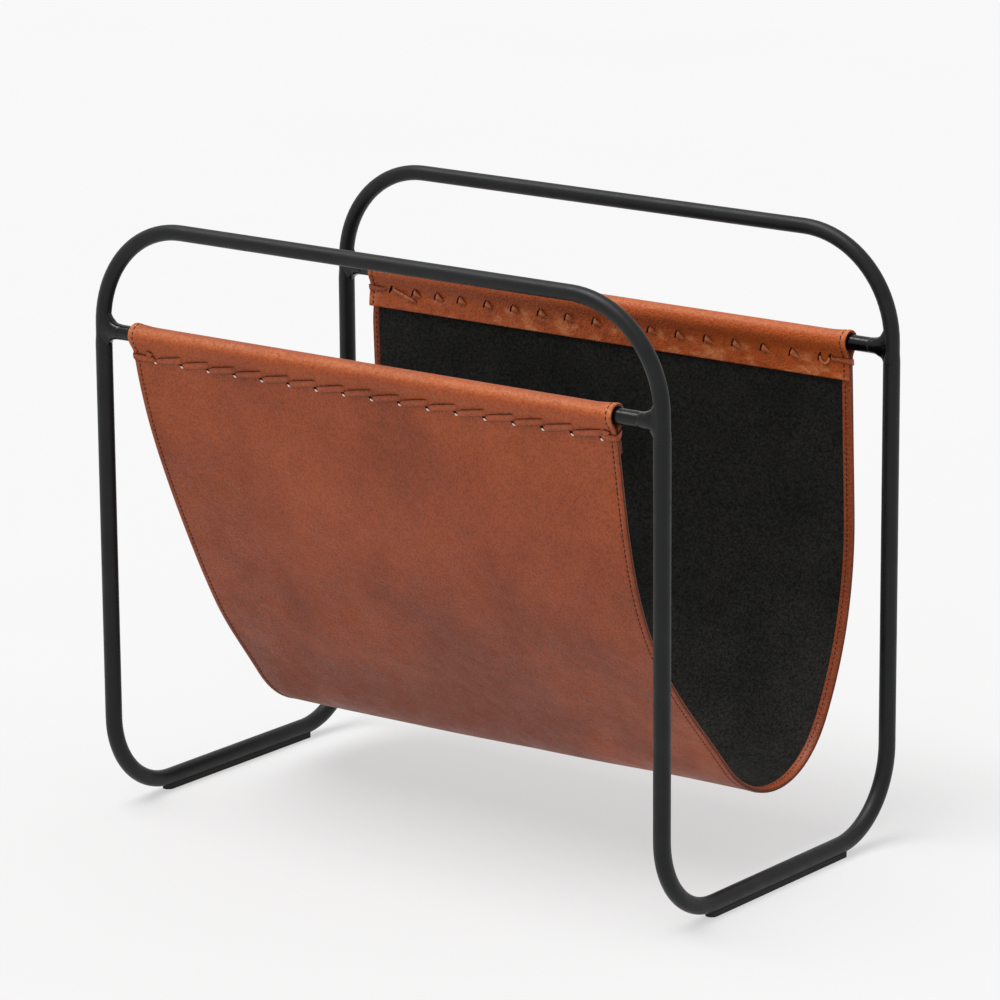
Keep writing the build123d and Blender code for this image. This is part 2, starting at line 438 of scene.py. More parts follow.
class Nodes:
    """A material's node tree with short calls for the nodes used here."""

    def __init__(self, name, roughness, specular):
        self.material = bpy.data.materials.new(name)
        self.material.use_nodes = True
        self.tree = self.material.node_tree
        self.shader = self.tree.nodes["Principled BSDF"]
        self.set("Roughness", roughness)
        self.set("Specular IOR Level", specular)
        self.place = self.node("ShaderNodeTexCoord", {}).outputs["Object"]

    def node(self, kind, inputs, **settings):
        """A new node with these settings, its sockets fed by name or number."""
        made = self.tree.nodes.new(kind)
        for key, value in settings.items():
            setattr(made, key, value)
        for key, value in inputs.items():
            self.feed(value, made.inputs[key])
        return made

    def feed(self, value, socket):
        """Gives a socket another node's output, or a colour, vector or number of its own."""
        if isinstance(value, bpy.types.NodeSocket):
            self.tree.links.new(value, socket)
        elif socket.type == "RGBA":
            socket.default_value = (*value, 1)
        else:
            socket.default_value = value

    def set(self, name, value):
        """Feeds the shader's own socket of this name."""
        self.feed(value, self.shader.inputs[name])

    def noise(self, size, detail=3.0, roughness=0.55, stretch=(1, 1, 1), offset=0.0):
        """Noise whose features are about this many millimetres across."""
        moved = {"Vector": self.place, "Scale": stretch, "Location": (offset, offset, offset)}
        vector = self.node("ShaderNodeMapping", moved).outputs["Vector"]
        look = {"Vector": vector, "Scale": 1 / (size * MM), "Detail": detail, "Roughness": roughness}
        return self.node("ShaderNodeTexNoise", look).outputs["Fac"]

    def cells(self, size):
        """Distance inside rounded cells of about this many millimetres."""
        look = {"Vector": self.place, "Scale": 1 / (size * MM), "Smoothness": 0.4}
        return self.node("ShaderNodeTexVoronoi", look, feature="SMOOTH_F1").outputs["Distance"]

    def math(self, operation, a, b):
        return self.node("ShaderNodeMath", {0: a, 1: b}, operation=operation).outputs["Value"]

    def weighted(self, *parts):
        """The sum of values, each a (value, weight)."""
        total = None
        for value, weight in parts:
            share = self.math("MULTIPLY", value, weight)
            total = share if total is None else self.math("ADD", total, share)
        return total

    def range(self, value, low, high, to_low=0.0, to_high=1.0):
        """The value between low and high, mapped smoothly to a new range."""
        sockets = {"Value": value, "From Min": low, "From Max": high, "To Min": to_low, "To Max": to_high}
        return self.node("ShaderNodeMapRange", sockets, interpolation_type="SMOOTHSTEP").outputs["Result"]

    def coordinate(self, axis):
        """The place along one axis, in metres."""
        return self.node("ShaderNodeSeparateXYZ", {"Vector": self.place}).outputs[axis]

    def ramp(self, factor, stops):
        """A colour ramp through (position, colour) stops."""
        made = self.node("ShaderNodeValToRGB", {"Fac": factor})
        while len(made.color_ramp.elements) < len(stops):
            made.color_ramp.elements.new(0.5)
        for element, (place, colour) in zip(made.color_ramp.elements, stops):
            element.position = place
            element.color = (*colour, 1)
        return made.outputs["Color"]

    def mix(self, factor, a, b, blend="MIX"):
        sockets = {"Factor": factor, MIX_A: a, MIX_B: b}
        made = self.node("ShaderNodeMix", sockets, data_type="RGBA", blend_type=blend)
        return made.outputs[MIX_RESULT]

    def grey(self, value):
        """A colour whose three channels are this value."""
        channels = {"Red": value, "Green": value, "Blue": value}
        return self.node("ShaderNodeCombineColor", channels).outputs["Color"]

    def attribute(self, name):
        return self.node("ShaderNodeAttribute", {}, attribute_name=name).outputs["Fac"]

    def bump(self, *heights):
        """Bumps one after the other, each (height, depth in millimetres, strength)."""
        sockets = {}
        for height, depth, strength in heights:
            sockets.update({"Height": height, "Distance": depth * MM, "Strength": strength})
            sockets["Normal"] = self.node("ShaderNodeBump", sockets).outputs["Normal"]
        self.set("Normal", sockets["Normal"])


COGNAC = (0.236, 0.048, 0.015)
COGNAC_LIGHT = (0.290, 0.062, 0.018)
COGNAC_DARK = (0.174, 0.0365, 0.013)
# painted warm light: the sleeves and back flap made warmer and brighter, for the light that falls on them
LEATHER_WARM_LIGHT = (0.375, 0.070, 0.011)
# wear and painted highlights, mixed in where the mesh's shade is above 0
LEATHER_WEAR_AND_HIGHLIGHT = (0.560, 0.190, 0.072)
# dark cut edges, and the painted shadow lines along the thongs, mixed in where the shade is below 0
LEATHER_EDGE_AND_SHADOW = (0.030, 0.010, 0.006)
BINDING_TONE = 0.86  # the bindings are cut from darker leather
LACE_TONE = 1.04
PAINT_DARK = (0.0068, 0.0072, 0.0078)
PAINT_LIGHT = (0.0102, 0.0107, 0.0115)
GLOSSY_TONE = 0.25  # glossier paint reflects more, so its own colour is deeper
GLOSSY_SPECULAR = 0.32
PILE_DARK = (0.0068, 0.0068, 0.0064)
PILE_LIGHT = (0.0245, 0.0240, 0.0226)
FIBRE = (0.064, 0.062, 0.057)
THREAD_DARK = (0.010, 0.006, 0.005)
THREAD_LIGHT = (0.030, 0.017, 0.013)
RUBBER_DARK = (0.021, 0.021, 0.020)
RUBBER_LIGHT = (0.032, 0.0315, 0.030)
# painted shade: the dark inside of a punched hole or slit
HOLE_SHADE_DARK = (0.003, 0.0015, 0.001)
HOLE_SHADE_LIGHT = (0.010, 0.004, 0.0025)
# raw fibre at a hole's lower rim, with a painted highlight
RAW_HIGHLIGHT_DARK = (0.66, 0.50, 0.40)
RAW_HIGHLIGHT_LIGHT = (0.95, 0.88, 0.80)
FLOOR_DARK = (0.245, 0.245, 0.245)
FLOOR_LIGHT = (0.255, 0.255, 0.255)


def cloudy_cognac(n):
    """The leather's broad colour: cloudy, lighter higher up and to the right."""
    clouds = n.noise(58, 5.0, 0.62, offset=0.3)
    patches = n.noise(140, 2.0, 0.5, offset=1.7)
    height = n.range(n.coordinate("Z"), 0.03, 0.30)
    rightward = n.range(n.coordinate("X"), 0.04, 0.17)
    tone = n.weighted((clouds, 0.8), (patches, 0.4), (height, 0.24), (rightward, 0.13))
    return n.ramp(tone, ((0.60, COGNAC_DARK), (0.78, COGNAC), (0.98, COGNAC_LIGHT)))


def mottled(n, colour):
    """The colour with the fine uneven specks of the grain."""
    specks = n.weighted((n.noise(3.0, 4.0, 0.78), 0.6), (n.cells(1.5), 0.6))
    specks = n.range(specks, 0.27, 0.76, 0.77, 1.19)
    return n.mix(1.0, colour, n.grey(specks), "MULTIPLY")


def wear_highlight_and_edge_shade(n, colour):
    """The colour with the mesh's shade: lighter above 0, for wear and painted highlights, and darker
    below it, for a cut edge and painted shade.
    """
    shade = n.attribute("shade")
    wear_and_highlight_mottle = n.range(n.noise(2.6, 4.0, 0.75, offset=2.2), 0.38, 0.62, 0.30, 1.0)
    wear_and_highlight = n.math("MULTIPLY", n.range(shade, 0.0, 1.0), wear_and_highlight_mottle)
    colour = n.mix(wear_and_highlight, colour, LEATHER_WEAR_AND_HIGHLIGHT)
    dark = n.range(n.math("MULTIPLY", shade, -1.0), 0.0, 1.0)
    return n.mix(dark, colour, LEATHER_EDGE_AND_SHADOW)


def leather_material(name, tone=1.0):
    """Smooth pull-up leather: cloudy colour, darker low down, lighter where it turns over a rod with wear
    and a painted highlight, and painted warm light from the mesh.
    """
    n = Nodes(name, 0.46, 0.21)
    # painted warm light on the sleeves and back flap
    colour = n.mix(n.attribute("warm_light"), cloudy_cognac(n), LEATHER_WARM_LIGHT)
    colour = wear_highlight_and_edge_shade(n, mottled(n, colour))
    if tone != 1.0:
        colour = n.mix(1.0, colour, (tone, tone, tone), "MULTIPLY")
    n.set("Base Color", colour)
    n.set("Roughness", n.range(n.noise(14, 5.0, 0.65), 0.3, 0.7, 0.38, 0.54))
    undulation = (n.noise(24, 3.0), 1.6, 0.22)
    pebbles = (n.cells(1.3), 0.34, 0.85)
    pores = (n.noise(1.0, 3.0, 0.65), 0.20, 0.8)
    n.bump(undulation, pebbles, pores)
    return n.material


def paint_material(name, roughness, ripple, specular=0.22, tone=1.0):
    """Satin black paint with a faint orange peel."""
    n = Nodes(name, roughness, specular)
    tint = n.range(n.noise(30, 3.0), 0.3, 0.7)
    dark, light = [tuple(tone * c for c in colour) for colour in (PAINT_DARK, PAINT_LIGHT)]
    n.set("Base Color", n.mix(tint, dark, light))
    n.set("Roughness", n.range(n.noise(9, 3.0), 0.3, 0.7, roughness - 0.05, roughness + 0.06))
    n.bump((n.noise(1.4, 2.0), 0.10, ripple), (n.noise(6, 2.0), 0.20, ripple * 0.6))
    return n.material


def lining_material():
    """Black felted canvas with a few pale fibres."""
    n = Nodes("black felted canvas", 0.95, 0.04)
    pile = n.range(n.noise(1.6, 5.0, 0.85), 0.36, 0.64)
    fibres = n.range(n.noise(0.8, 4.0, 0.75, stretch=(1, 1, 0.5)), 0.62, 0.72)
    patches = n.range(n.noise(38, 3.0, offset=3.1), 0.3, 0.7, 0.80, 1.15)
    colour = n.mix(fibres, n.mix(pile, PILE_DARK, PILE_LIGHT), FIBRE)
    n.set("Base Color", n.mix(1.0, colour, n.grey(patches), "MULTIPLY"))
    n.bump((n.noise(1.0, 4.0, 0.7), 0.5, 0.6), (n.noise(34, 2.0), 1.5, 0.3))
    return n.material


def thread_material():
    """Dark waxed thread, its twist a fine ripple."""
    n = Nodes("dark waxed thread", 0.6, 0.3)
    twist = n.noise(0.35, 2.0)
    n.set("Base Color", n.mix(twist, THREAD_DARK, THREAD_LIGHT))
    n.bump((twist, 0.1, 0.6))
    return n.material


def strip_material():
    """Matt black rubber."""
    n = Nodes("matt black rubber", 0.8, 0.1)
    n.set("Base Color", n.mix(n.noise(4, 3.0), RUBBER_DARK, RUBBER_LIGHT))
    n.bump((n.noise(0.7, 3.0), 0.1, 0.6))
    return n.material


def hole_shade_material():
    """Painted shade: a dark mark for the shaded inside of a punched hole or slit."""
    n = Nodes("punched hole", 0.9, 0.1)
    n.set("Base Color", n.mix(n.noise(1.0, 2.0), HOLE_SHADE_DARK, HOLE_SHADE_LIGHT))
    return n.material


def raw_edge_highlight_material():
    """The pale raw fibre at the rim of a punched hole, with a painted highlight where the light falls on
    it.
    """
    n = Nodes("raw leather fibre with painted highlight", 0.8, 0.2)
    n.set("Base Color", n.mix(n.noise(0.8, 3.0), RAW_HIGHLIGHT_DARK, RAW_HIGHLIGHT_LIGHT))
    n.bump((n.noise(0.5, 3.0), 0.1, 0.5))
    return n.material


# ======== Camera, floor and light ========
def add_camera():
    """The camera, looking down a little from the front right."""
    azimuth, elevation = math.radians(CAMERA_AZIMUTH), math.radians(CAMERA_ELEVATION)
    back = Vector((
        math.sin(azimuth) * math.cos(elevation),
        -math.cos(azimuth) * math.cos(elevation),
        math.sin(elevation),
    ))
    level = Vector((math.cos(azimuth), math.sin(azimuth), 0))
    upright = back.cross(level)
    roll = math.radians(CAMERA_ROLL)
    right = level * math.cos(roll) + upright * math.sin(roll)
    up = upright * math.cos(roll) - level * math.sin(roll)
    camera = bpy.data.objects.new("camera", bpy.data.cameras.new("camera"))
    camera.data.lens = CAMERA_LENS
    camera.data.sensor_width = CAMERA_SENSOR
    camera.data.clip_end = CAMERA_SEES_TO
    aim = Vector((CAMERA_AIM_X, 0, CAMERA_AIM_HEIGHT))
    turn = Matrix((right, up, back)).transposed().to_4x4()
    camera.matrix_world = Matrix.Translation(aim + back * CAMERA_DISTANCE) @ turn
    bpy.context.scene.collection.objects.link(camera)
    bpy.context.scene.camera = camera


def add_floor():
    """A plain pale floor that glows a little, so that it is as bright as the backdrop."""
    mesh = bpy.data.meshes.new("floor")
    signs = ((-1, -1), (1, -1), (1, 1), (-1, 1))
    corners = [(x * FLOOR_HALF, y * FLOOR_HALF, 0) for x, y in signs]
    mesh.from_pydata(corners, [], [(0, 1, 2, 3)])
    n = Nodes("pale floor", 0.9, 0.0)
    n.set("Base Color", n.mix(n.noise(400, 2.0), FLOOR_DARK, FLOOR_LIGHT))
    n.set("Emission Color", (1, 1, 1))
    n.set("Emission Strength", FLOOR_GLOW)
    mesh.materials.append(n.material)
    floor = bpy.data.objects.new("floor", mesh)
    bpy.context.scene.collection.objects.link(floor)


def add_sky():
    """An even white surround, a little brighter to the camera than as a light."""
    world = bpy.data.worlds.new("studio")
    world.use_nodes = True
    sky = world.node_tree.nodes["Background"]
    sky.inputs["Color"].default_value = (1, 1, 1, 1)
    seen = world.node_tree.nodes.new("ShaderNodeLightPath")
    strength = world.node_tree.nodes.new("ShaderNodeMapRange")
    strength.inputs["To Min"].default_value = SKY
    strength.inputs["To Max"].default_value = SKY_SEEN
    world.node_tree.links.new(seen.outputs["Is Camera Ray"], strength.inputs["Value"])
    world.node_tree.links.new(strength.outputs["Result"], sky.inputs["Strength"])
    bpy.context.scene.world = world


def add_overhead():
    """A broad soft light from overhead."""
    light = bpy.data.lights.new("overhead softbox", "SUN")
    light.energy = OVERHEAD
    light.angle = math.radians(OVERHEAD_SPREAD)
    made = bpy.data.objects.new("overhead softbox", light)
    made.rotation_mode = "QUATERNION"
    made.rotation_quaternion = Vector(OVERHEAD_FROM).to_track_quat("Z", "Y")
    bpy.context.scene.collection.objects.link(made)


add_camera()
add_floor()
add_sky()
add_overhead()
bpy.context.scene.view_settings.view_transform = "Standard"


# ======== The frame: paint on the CAD bars, and smooth welds ========
paint = paint_material("satin black paint", 0.42, 0.35)
weld_paint = paint_material("satin black paint on weld", 0.20, 1.4, GLOSSY_SPECULAR, GLOSSY_TONE)
rod_paint = paint_material("satin black paint on rod", 0.22, 0.7, GLOSSY_SPECULAR, GLOSSY_TONE)
rubber = strip_material()


def repaint(node, made):
    """Gives a CAD node a better material, its mesh untouched."""
    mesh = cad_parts[node].data
    mesh.materials.clear()
    mesh.materials.append(made)


for row in ("front", "back"):
    repaint(f"{row}_handle_hoop", paint)
    repaint(f"{row}_cross_rod", rod_paint)
for side in ("left", "right"):
    repaint(f"{side}_runner_loop", paint)
    repaint(f"{side}_floor_strip", rubber)

WELD_REACH = 9.4  # how far a fillet runs along the rod from the leg
WELD_UNEVEN = 0.10  # how much that reach varies round the rod, as a share
WELD_UP = 8.0  # how far it runs along the leg above the rod
WELD_DOWN = 5.6  # and below it
WELD_LIFT = 0.05  # how far its ends stand off the bars
LEG_SHARE = 0.98  # how far round the leg it goes, as a share of the leg's width
# How far the hollow curve follows the rod, the leg and its flanks, as shares of the reach
ROD_PULL = 0.62
LEG_PULL = 0.5
FLANK_PULL = 0.35
BEAD = 0.45  # the height of the bead's unevenness
BEAD_SCALE = 0.35
SUNK_SHRINK = 0.9  # the last ring at each end is smaller and sunk in the bars
ROD_SINK = 0.4
LEG_SINK = 1.2
WELD_STEPS = 10
WELD_AROUND = 40


def frame_tube(name, rings, made_material):
    """A closed tube through rings, as a piece of the frame."""
    shape = Shape()
    shape.add_ring_tube(rings)
    made = shape.build(name, made_material)
    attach(made, "frame")
    return made


def fillet_curve(start, end, reach, c, s, share):
    """A point of the fillet's hollow face, this share of the way from the rod to the leg."""
    pull_start = start - np.array([reach * ROD_PULL, 0, 0])
    pull_end = end - np.array([0, 0, s * reach * LEG_PULL])
    pull_end = pull_end + np.array([abs(c) * reach * FLANK_PULL, 0, 0])
    a, b = 1 - share, share
    return start * a ** 3 + pull_start * 3 * a * a * b + pull_end * 3 * a * b * b + end * b ** 3


def fillet_point(rod, leg_radius, sign, angle, j):
    """A point of the fillet's j-th ring: its distances from the leg's axis and the rod's."""
    share = min(max(j / WELD_STEPS, 0), 1)
    c, s = math.cos(angle), math.sin(angle)
    uneven = noise.noise(Vector((c, s, sign * 3.0 + rod[0])) * 1.7)
    reach = WELD_REACH * (1 + WELD_UNEVEN * uneven)
    rod_face = ROD_RADIUS + WELD_LIFT
    start = np.array([leg_radius + reach, c * rod_face, s * rod_face])
    loop_y = c * leg_radius * LEG_SHARE
    loop_z = s * (ROD_RADIUS + (WELD_UP if s > 0 else WELD_DOWN) * reach / WELD_REACH)
    leg_face = math.sqrt(max(leg_radius ** 2 - loop_y ** 2, 0.0)) + WELD_LIFT
    end = np.array([leg_face, loop_y, loop_z])
    point = fillet_curve(start, end, reach, c, s, share)
    if j < 0:
        point = np.array([point[0] + ROD_SINK, point[1] * SUNK_SHRINK, point[2] * SUNK_SHRINK])
    if j > WELD_STEPS:
        point = np.array([point[0] - LEG_SINK, point[1] * SUNK_SHRINK, point[2]])
    bead = BEAD * noise.noise(Vector(point) * BEAD_SCALE + Vector((rod[0], sign * 9, 0)))
    bead *= math.sin(math.pi * share)
    return point + np.array([bead * 0.5, bead * c, bead * s])


def weld_fillet(row, side):
    """The fillet all round the end of a cross rod, where it meets its leg."""
    rod = FRONT_ROD if row == "front" else BACK_ROD
    low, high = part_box(f"{row}_handle_hoop")
    leg_radius = (high.y - low.y) / 2 / MM
    sign = -1 if side == "left" else 1
    leg_x = (low.x / MM + leg_radius) if side == "left" else (high.x / MM - leg_radius)
    rings = []
    for j in range(-1, WELD_STEPS + 2):
        ring = []
        for i in range(WELD_AROUND):
            point = fillet_point(rod, leg_radius, sign, 2 * math.pi * i / WELD_AROUND, j)
            ring.append(Vector((leg_x - sign * point[0], rod[0] + point[1], rod[1] + point[2])) * MM)
        rings.append(ring if side == "left" else ring[::-1])
    made = frame_tube(f"{row}_{side}_weld_fillet", rings, weld_paint)
    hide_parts(f"{row}_{side}_weld")


COLLAR_HEIGHT = 7.0
COLLAR_SUNK = 0.6  # the collar starts this far under the runner bar's end
COLLAR_LIFT = 0.03  # and stands this far off it
COLLAR_STEPS = 8


def butt_collar(row, side):
    """The ground butt weld that tapers the runner's thicker bar into the hoop's."""
    runner_low, runner_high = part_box(f"{side}_runner_loop")
    hoop_low, hoop_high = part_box(f"{row}_handle_hoop")
    runner_radius = (runner_high.x - runner_low.x) / 2 / MM
    hoop_radius = (hoop_high.y - hoop_low.y) / 2 / MM
    leg_x = (runner_low.x + runner_high.x) / 2 / MM
    leg_y = (hoop_low.y + hoop_high.y) / 2 / MM
    joint = runner_high.z / MM
    rings = []
    for j in range(COLLAR_STEPS + 1):
        share = j / COLLAR_STEPS
        radius = runner_radius + (hoop_radius - runner_radius) * ease(share, 0, 1)
        radius = radius + COLLAR_LIFT * (1 - share)
        height = joint + COLLAR_HEIGHT * share - COLLAR_SUNK
        ring = []
        for i in range(WELD_AROUND):
            angle = 2 * math.pi * i / WELD_AROUND
            x, y = leg_x + radius * math.cos(angle), leg_y + radius * math.sin(angle)
            ring.append(Vector((x, y, height)) * MM)
        rings.append(ring)
    frame_tube(f"{row}_{side}_butt_weld", rings, paint)


for row in ("front", "back"):
    for side in ("left", "right"):
        weld_fillet(row, side)
        butt_collar(row, side)


# ======== The sling ========
sling_leather = leather_material("cognac pull-up leather")
binding_leather = leather_material("cognac binding leather", BINDING_TONE)
lace_leather = leather_material("cognac lace leather", LACE_TONE)
felt = lining_material()
thread = thread_material()
hole_shade = hole_shade_material()
raw_edge_and_highlight = raw_edge_highlight_material()

# How the grain face rises and dips near a side edge, with a groove along the stitches:
# (distance from the edge, lift)
EDGE_RELIEF = (
    (0.0, -0.50), (0.25, -0.16), (0.8, 0.14), (1.7, 0.26), (2.6, 0.12), (3.1, -0.12),
    (3.5, -0.26), (3.9, -0.12), (4.6, 0.05), (6.2, 0.0), (8.5, 0.0),
)
# Rounded cut edges: within these distances of one, the leather is this much thinner
SIDE_END, SIDE_THINNER = 0.15, 0.45
NEXT_END, NEXT_THINNER = 0.5, 0.12
FLAP_END, FLAP_THINNER = 0.2, 0.3
COLUMN_SPACING = 2.6
SLEEVE_ROWS_REACH = 24  # rows are close together to this far past a front seam
SLEEVE_ROW_SPACING = 1.15
PANEL_ROW_SPACING = 4.0

# ---- wear and painted light: above 0 the leather is lighter, for wear and painted highlights, and below 0 darker, for a cut edge and painted crease shade ----
# The shoulder band and the crest are partly wear and partly a painted highlight, where the light falls on
# a sleeve
SHOULDER_WEAR_AND_HIGHLIGHT = 0.46  # a band just past a sleeve's crest
CREST_WEAR_AND_HIGHLIGHT = 0.05
SLEEVE_END_WEAR = 0.42
# The flap's light patches are wear and painted highlights, and its creases painted shade
FLAP_WEAR_AND_HIGHLIGHT = 0.80  # rumpled patches of the back flap
FLAP_CREASE_SHADE = 0.34  # and the darker creases between them
CUT_EDGE = -0.8
# painted warm light: on the front sleeve, and stronger on the back sleeve and flap
FRONT_WARM_LIGHT = 0.36
BACK_WARM_LIGHT = 0.80


def spread(start, end, spacing):
    """Even values from start to end, about this far apart, both ends included."""
    count = max(1, round((end - start) / spacing))
    return [start + (end - start) * i / count for i in range(count + 1)]


def inset_x(side, inset):
    """x of a place this far in from one side edge."""
    return SLING_LEFT + inset if side == "left" else SLING_RIGHT - inset


def from_edge(x):
    """Distance from the nearer side edge."""
    return min(x - SLING_LEFT, SLING_RIGHT - x)


def leather_columns():
    """x values across the sling, close together near its edges."""
    near = [distance for distance, _ in EDGE_RELIEF]
    middle = spread(SLING_LEFT + near[-1], SLING_RIGHT - near[-1], COLUMN_SPACING)
    left = [SLING_LEFT + d for d in near[:-1]]
    return left + middle + [SLING_RIGHT - d for d in reversed(near[:-1])]


def leather_rows():
    """Distances along the leather, close together over the sleeves."""
    fine = FRONT_SEAM + SLEEVE_ROWS_REACH
    first = [0.0, 0.3] + spread(1.0, fine, SLEEVE_ROW_SPACING)
    middle = spread(fine, END - fine, PANEL_ROW_SPACING)[1:-1]
    return first + middle + [END - run for run in reversed(first)]


def flap_wear_and_painted_light(x, run):
    """Light rumpled patches on the back flap, wear with painted highlights, and darker creases between
    them, which are painted shade.
    """
    on_flap = ease(run, BACK_FLAP_SEAM - 2, BACK_FLAP_SEAM + 3)
    patch = ease(noise.noise(Vector((x / 8, run / 4, 2.5))), 0.0, 0.45)
    crease_shade = ease(noise.noise(Vector((x / 6, run / 5, 7.5))), 0.05, 0.45)
    return on_flap * (FLAP_WEAR_AND_HIGHLIGHT * patch - FLAP_CREASE_SHADE * crease_shade)


def leather_shade(x, run):
    """How much wear and painted light the leather has at a place: wear and a painted highlight on the
    sleeves, wear at their ends, the back flap's patches and creases, and dark cut edges.
    """
    near = from_edge(x)
    if near < SIDE_END or run < FLAP_END or END - run < FLAP_END:
        return CUT_EDGE
    shade = flap_wear_and_painted_light(x, run)
    for start, end in ((FRONT_FLAP_SEAM, FRONT_SEAM), (BACK_SEAM, BACK_FLAP_SEAM)):
        past_crest = run - (start + end) / 2
        shade += SHOULDER_WEAR_AND_HIGHLIGHT * ease(past_crest, -4, 5) * (1 - ease(past_crest, 4.5, 9.0))
        shade += CREST_WEAR_AND_HIGHLIGHT * (1 - ease(abs(past_crest), 4, 10))
        if start < run < end:
            at_end = 1 - ease(near, 2.6, 6.0)
            shade += SLEEVE_END_WEAR * at_end * (1 - ease(abs(past_crest - 3), 8, 13))
    return shade


def leather_warm_light(run):
    """How much painted warm light the colour gets, making it warmer and brighter for the light that falls
    there: on the sleeves, and most on the back flap.
    """
    off_flap = ease(run, FRONT_FLAP_SEAM, FRONT_FLAP_SEAM + 8)
    before_panel = 1 - ease(run, FRONT_SEAM - 6, FRONT_SEAM + 5)
    back = ease(run, BACK_SEAM, BACK_SEAM + 8)
    return max(FRONT_WARM_LIGHT * off_flap * before_panel, BACK_WARM_LIGHT * back)


def end_thinner(run):
    """How much a flap's free edge is rounded."""
    return FLAP_THINNER if min(run, END - run) < FLAP_END else 0.0


def grain_lift(x, run):
    """The leather's outer side, off its even grain face."""
    return float(np.interp(from_edge(x), *zip(*EDGE_RELIEF))) - end_thinner(run)


def flesh_lift(x, run):
    """The leather's inner side."""
    near = from_edge(x)
    thinner = SIDE_THINNER if near < SIDE_END else (NEXT_THINNER if near < NEXT_END else 0.0)
    return -LEATHER + thinner + end_thinner(run)


def grid(columns, rows, lift):
    """Points over the sling, each lift(x, run) off the grain face."""
    return [[on_sling(x, run, lift(x, run)) for x in columns] for run in rows]


def make_leather():
    """The sling's one leather panel, from the front flap's free edge to the back one's."""
    columns, rows = leather_columns(), leather_rows()
    shades = [[leather_shade(x, run) for x in columns] for run in rows]
    warm_lights = [leather_warm_light(run) for run in rows]
    shape = Shape()
    shape.add_sheet(grid(columns, rows, grain_lift), grid(columns, rows, flesh_lift), shades, warm_lights)
    return shape.build("sling_leather_panel", sling_leather)


LAYER_GAP = 0.03  # between the leather and a layer on it
LAYER_ROW_SPACING = 3.5
LAYER_THINNER = 0.4  # a layer's side edges are rounded by this much
LAYER_OVERLAP = 0.3  # a binding reaches this far over the lining, clear of the edge


def make_layer(name, made_material, left, right, spacing, crown):
    """A layer on the panel's inner face, from one side to the other, its middle crowned."""
    start, end = FRONT_SEAM + LINING_BELOW_SEAM, BACK_SEAM - LINING_BELOW_SEAM
    columns = [left, left + 0.2, left + 0.7] + spread(left + 1.4, right - 1.4, spacing)
    columns += [right - 0.7, right - 0.2, right]
    rows = [start, start + 0.3] + spread(start + 1.0, end - 1.0, LAYER_ROW_SPACING)
    rows += [end - 0.3, end]

    def hidden(x, run):
        return -LEATHER - LAYER_GAP

    def shown(x, run):
        near = min(x - left, right - x)
        thin = LAYER_THINNER * (1 - ease(near, 0, 0.8))
        return -LEATHER - LINING + thin - crown * ease(near, 0, 1.5)

    plain = [[0.0] * len(columns)] * len(rows)
    shape = Shape()
    shape.add_sheet(grid(columns, rows, hidden), grid(columns, rows, shown), plain, [0.0] * len(rows))
    return shape.build(name, made_material)


def make_binding(side):
    """The leather strip along one side edge of the lining."""
    width = LEFT_BINDING_WIDTH if side == "left" else BINDING_WIDTH
    left, right = sorted(inset_x(side, LAYER_OVERLAP + inset) for inset in (0, width))
    return make_layer(f"{side}_binding", binding_leather, left, right, 1.2, BINDING_CROWN)


THREAD_HALF_WIDTH = 0.34
THREAD_HALF_HEIGHT = 0.26
STITCH_GROOVE = 0.22  # the outer stitches lie this deep in their groove
STITCH_BITE = 0.12  # and the inner ones this deep in the binding
STITCH_MARGIN = 1.0  # a row of stitches stops this far from the leather's end
# A stitch along its length: (share of the length, rise, share of the thread's width)
STITCH_STOPS = ((0.0, -0.35, 0.5), (0.2, 0.05, 0.9), (0.5, 0.2, 1.0), (0.8, 0.05, 0.9), (1.0, -0.35, 0.5))


def add_stitches(shape, x, start, end, lift, flip):
    """A row of stitches along the sling, each a short thread that dips in at both ends."""
    count = int((end - start) / STITCH_PITCH)
    for i in range(count):
        first = start + (end - start) * (i + 0.5) / count - STITCH_LENGTH / 2
        centres, ups, half_widths = [], [], []
        for share, rise, width in STITCH_STOPS:
            run = first + STITCH_LENGTH * share
            centres.append(on_sling(x, run, lift + flip * rise))
            ups.append(off_sling(run) * flip)
            half_widths.append(THREAD_HALF_WIDTH * MM * width)
        add_ribbon(shape, centres, ups, half_widths, THREAD_HALF_HEIGHT * MM, boxy=1.0)


def make_edge_stitches(side):
    """The sewn line along one side edge, seen outside from end to end and inside between flaps."""
    x = inset_x(side, STITCH_INSET)
    shape = Shape()
    add_stitches(shape, x, STITCH_MARGIN, END - STITCH_MARGIN, -STITCH_GROOVE, 1)
    hidden = FLAP_BELOW_SEAM + STITCH_MARGIN
    inside = -LEATHER - LINING - BINDING_CROWN + STITCH_BITE
    add_stitches(shape, x, FRONT_SEAM + hidden, BACK_SEAM - hidden, inside, -1)
    return shape.build(f"{side}_edge_stitches", thread)


leather_panel = make_leather()
lining_left, lining_right = SLING_LEFT + LEFT_BINDING_WIDTH, SLING_RIGHT - BINDING_WIDTH
lining = make_layer("felt_lining", felt, lining_left, lining_right, 5.0, 0.0)
left_binding = make_binding("left")
right_binding = make_binding("right")
left_stitches = make_edge_stitches("left")
right_stitches = make_edge_stitches("right")


# ---- the lacing ----
def front_hole(k):
    """x of the front seam's k-th hole."""
    return SLING_LEFT + FIRST_HOLE + HOLE_PITCH * k


def back_hole(k):
    """x of the back seam's k-th hole."""
    return front_hole(k) - BACK_GAP_LOSS * min(k, BACK_SHORT_GAPS) - BACK_PITCH_LOSS * k


